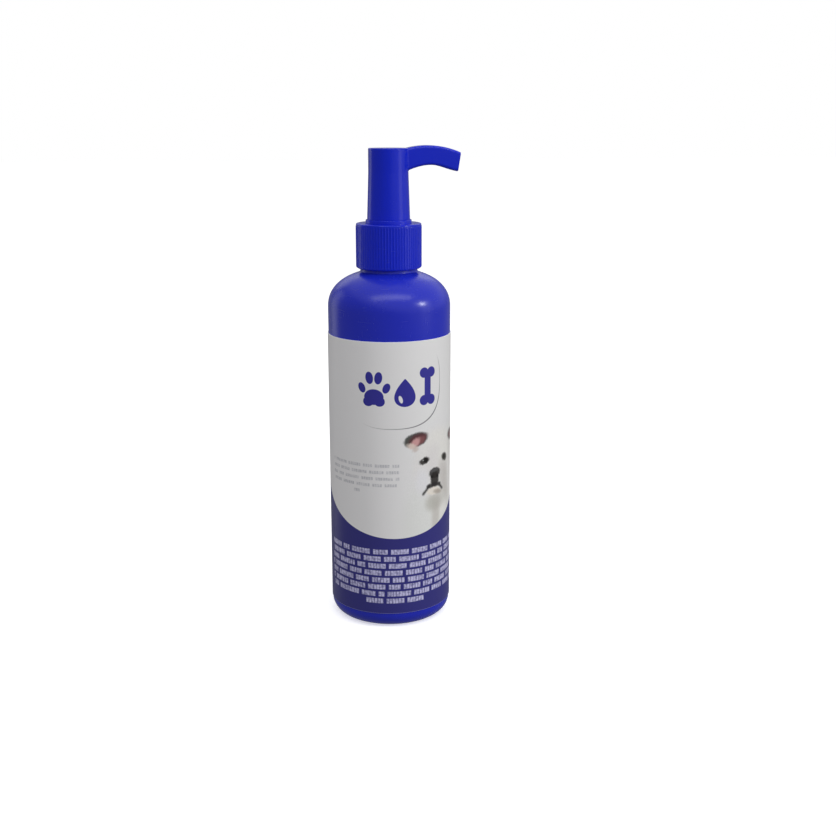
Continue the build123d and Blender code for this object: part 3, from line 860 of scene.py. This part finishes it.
def label_material():
    """Satin printed film: artwork, painted highlights along the top and bottom edges, paper tone
    with painted shading across the front, faint print grain and soft handling marks.
    """
    g = Graph("label_film")
    x, y, z = g.split(g.place)
    u = g.math("ARCTAN2", x, 0 - y) * LABEL_R
    v = z
    p = g.join(u, v)
    # Painted shading: the paper is kept lighter and bluer on the left and greyed towards the
    # right, standing in for how the light falls across the front.
    painted_side_shade = g.ramp(u, -30.0, 30.0)
    base = g.over(PAPER, ink(198, 198, 198), painted_side_shade * 0.8)
    base = dog(g, base, u, v)
    base = g.over(base, ink(92, 92, 96), swoosh(g, u, v))
    marks = union(g, [paw(g, p), drop(g, u, v), bone(g, p)])
    base = g.over(base, NAVY_MARK, marks)
    small = greeking(g, u, v, 70.6, 2.72, 5, 1.25, -32.3, -0.2, 1.02, last=(-19.6, -16.4))
    base = g.over(base, GREY_TEXT, small * 0.75)
    side = abs(u)
    back = greeking(g, side, v, 108.0, 3.3, 13, 1.5, 46.0, 74.0, 1.2)
    base = g.over(base, NAVY_MARK, back * 0.8)
    from_middle = abs(u + 1)
    fold = math.pi * LABEL_R
    swing = g.math("MINIMUM", from_middle, fold - from_middle)
    inside = g.math("MAXIMUM", WAVE_R**2 - swing * swing, 0.0)
    edge = WAVE_LOW + WAVE_R - g.math("SQRT", inside)
    zone = g.ramp(edge - v, -0.07, 0.07)
    base = g.over(base, NAVY_ZONE, zone)
    block = greeking(g, u, v, 33.95, 3.06, 8, 2.1, -35.0, 34.0, 1.25, last=(-14.4, 11.4))
    base = g.over(base, LILAC, block)
    rear = greeking(g, side, v, 33.95, 3.06, 6, 1.5, 46.0, 74.0, 1.35)
    base = g.over(base, LILAC, rear)
    # Painted highlights: a pale line along the bottom edge and a lighter line along the top edge,
    # standing in for light caught on the label's edges.
    edge_band = g.ramp(v, LABEL_LOW + 0.22, LABEL_LOW + 0.08)
    top_edge_highlight = g.ramp(v, LABEL_HIGH - 0.2, LABEL_HIGH - 0.06)
    base = g.over(base, ink(150, 150, 205), edge_band * 0.8)
    base = g.over(base, ink(214, 214, 220), top_edge_highlight * 0.6)
    grain = g.noise(g.place, 4.2, 2.0, 0.6)
    cloud = g.noise(g.place, 0.06, 3.0)
    wave = g.noise(g.vector("MULTIPLY", g.place, (1, 1, 0.45)), 0.11, 2.0)
    rub = g.ramp(g.noise(g.place, 0.16, 4.0, 0.6), 0.5, 0.7)
    base = g.tint(base, 0.985 + (grain - 0.5) * 0.03 + (cloud - 0.5) * 0.03)
    inked = g.math("MAXIMUM", zone, marks)
    rough = 0.42 - inked * 0.05 + rub * 0.06 + (grain - 0.5) * 0.06
    normal = g.bump(wave * 0.8 + grain * 0.05, 0.09)
    return g.finish(base, rough, normal, Specular_IOR_Level=0.35)


# ---- Stage ---------------------------------------------------------------------------------
def make_camera():
    data = bpy.data.cameras.new("camera")
    data.lens = 50
    data.sensor_width = 36
    data.clip_start = 0.01
    data.clip_end = 30
    camera = bpy.data.objects.new("camera", data)
    camera.location = (-0.0722, -0.4664, 0.2046)
    camera.rotation_euler = (math.radians(75.88), 0, math.radians(-10.234))
    bpy.context.scene.collection.objects.link(camera)
    bpy.context.scene.camera = camera


def make_floor():
    """Plain pale floor, far larger than any view of the bottle."""
    verts = [(-6000, -6000, 0), (6000, -6000, 0), (6000, 6000, 0), (-6000, 6000, 0)]
    floor = mesh_object("floor", verts, [(0, 1, 2, 3)])
    g = Graph("floor_paint")
    tone = 0.985 + (g.noise(g.place, 0.004, 2.0) - 0.5) * 0.02
    floor.data.materials.append(g.finish(g.tint((0.9, 0.9, 0.9, 1), tone), 0.9))
    g.shader.inputs["Specular IOR Level"].default_value = 0.1
    g.shader.inputs["Emission Color"].default_value = (1, 1, 1, 1)
    g.shader.inputs["Emission Strength"].default_value = 0.55
    return floor


def towards(azimuth, elevation):
    """Unit vector from the bottle; azimuth 0 is on the label's front side."""
    a, e = math.radians(azimuth), math.radians(elevation)
    return Vector((math.sin(a) * math.cos(e), -math.cos(a) * math.cos(e), math.sin(e)))


def soft_light(name, azimuth, elevation, distance, size, power, colour=(1, 1, 1)):
    """Area light that looks at the bottle."""
    data = bpy.data.lights.new(name, "AREA")
    data.shape = "RECTANGLE"
    data.size, data.size_y = size
    data.energy = power
    data.color = colour
    light = bpy.data.objects.new(name, data)
    aim = Vector((0, 0, 0.13))
    away = towards(azimuth, elevation)
    light.location = aim + away * distance
    light.rotation_euler = away.to_track_quat("Z", "Y").to_euler()
    light.visible_camera = False
    bpy.context.scene.collection.objects.link(light)
    return light


def make_world():
    """Pale studio surroundings: white behind the object, and a soft bright upper right."""
    world = bpy.data.worlds.new("studio")
    bpy.context.scene.world = world
    world.use_nodes = True
    tree = world.node_tree
    tree.nodes.clear()
    new = tree.nodes.new
    link = tree.links.new
    place = new("ShaderNodeTexCoord")
    facing = new("ShaderNodeVectorMath")
    facing.operation = "DOT_PRODUCT"
    link(place.outputs["Generated"], facing.inputs[0])
    facing.inputs[1].default_value = towards(60, 65)
    glow = new("ShaderNodeMapRange")
    glow.interpolation_type = "SMOOTHSTEP"
    link(facing.outputs["Value"], glow.inputs["Value"])
    glow.inputs["From Min"].default_value = 0.16
    glow.inputs["From Max"].default_value = 0.40
    glow.inputs["To Min"].default_value = 0.32
    glow.inputs["To Max"].default_value = 0.80
    around = new("ShaderNodeBackground")
    link(glow.outputs[0], around.inputs["Strength"])
    behind = new("ShaderNodeBackground")
    behind.inputs["Color"].default_value = (1, 1, 1, 1)
    behind.inputs["Strength"].default_value = 1.0
    rays = new("ShaderNodeLightPath")
    mix = new("ShaderNodeMixShader")
    link(rays.outputs["Is Camera Ray"], mix.inputs[0])
    link(around.outputs[0], mix.inputs[1])
    link(behind.outputs[0], mix.inputs[2])
    out = new("ShaderNodeOutputWorld")
    link(mix.outputs[0], out.inputs[0])


def make_stage():
    bpy.context.scene.view_settings.view_transform = "Standard"
    make_world()
    floor = make_floor()
    floor.visible_glossy = False
    floor.visible_diffuse = False
    soft_light("key", 63, 10, 0.9, (0.36, 0.58), 0.42, (1.0, 0.985, 0.96))
    soft_light("overhead", -2, 57, 0.9, (1.05, 0.32), 2.4)
    soft_light("sparkle", 57, 19, 0.9, (0.09, 0.07), 1.6)
    soft_light("left", -131, 2, 0.9, (0.35, 0.9), 0.6)
    soft_light("back", 178, 26, 0.9, (0.9, 0.35), 0.6)


# ---- Assembly ------------------------------------------------------------------------------
def place(piece, body, slot, material, *nodes):
    """Gives a new piece its material and body, and hides the CAD nodes it stands for; slot is not
    used.
    """
    piece.data.materials.append(material)
    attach(piece, body)
    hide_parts(*nodes)


def paint(node, material):
    """Gives a CAD node that keeps its shape a better material."""
    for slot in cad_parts[node].material_slots:
        slot.material = material


make_camera()
make_stage()

bottle_blue = moulded("bottle_plastic", (0.010, 0.021, 0.52, 1), 0.25, 0.45, waves=9.0)
pump_blue = moulded("pump_plastic", (0.0, 0.014, 0.58, 1), 0.17, 0.38, cloud=0.04)
clear = milky("clear_polypropylene", (0.80, 0.82, 0.82, 1), 0.36, 0.35)
tube_clear = milky("tube_plastic", (0.84, 0.85, 0.83, 1), 0.30, 0.45)
white = milky("piston_plastic", (0.86, 0.86, 0.82, 1), 0.34, 0.08)
wire = drawn_steel("spring_steel", 0.27, 3.0)
ball = drawn_steel("ball_steel", 0.10, 0.8)

place(make_bottle(), "bottle", "bottle_plastic", bottle_blue, "bottle")
place(make_label(), "bottle", "label_film", label_material(), "label")
place(make_closure(), "closure", "pump_plastic", pump_blue, "closure")
place(make_chaplet(), "pump_body", "pump_plastic", pump_blue, "chaplet")
spring = make_spring()
place(spring, "pump_body", "spring_steel", wire, "return_spring")
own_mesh(spring)

paint("pump_head", pump_blue)
for name in ("housing", "stem_guide", "spring_cuff", "stem", "piston_rod", "ball_retainer"):
    paint(name, clear)
paint("dip_tube", tube_clear)
paint("piston", white)
paint("inlet_ball", ball)
paint("neck_gasket", foam("gasket_foam", (0.82, 0.82, 0.80, 1)))
paint("stem_wiper", rubber("wiper_rubber", (0.78, 0.78, 0.76, 1)))
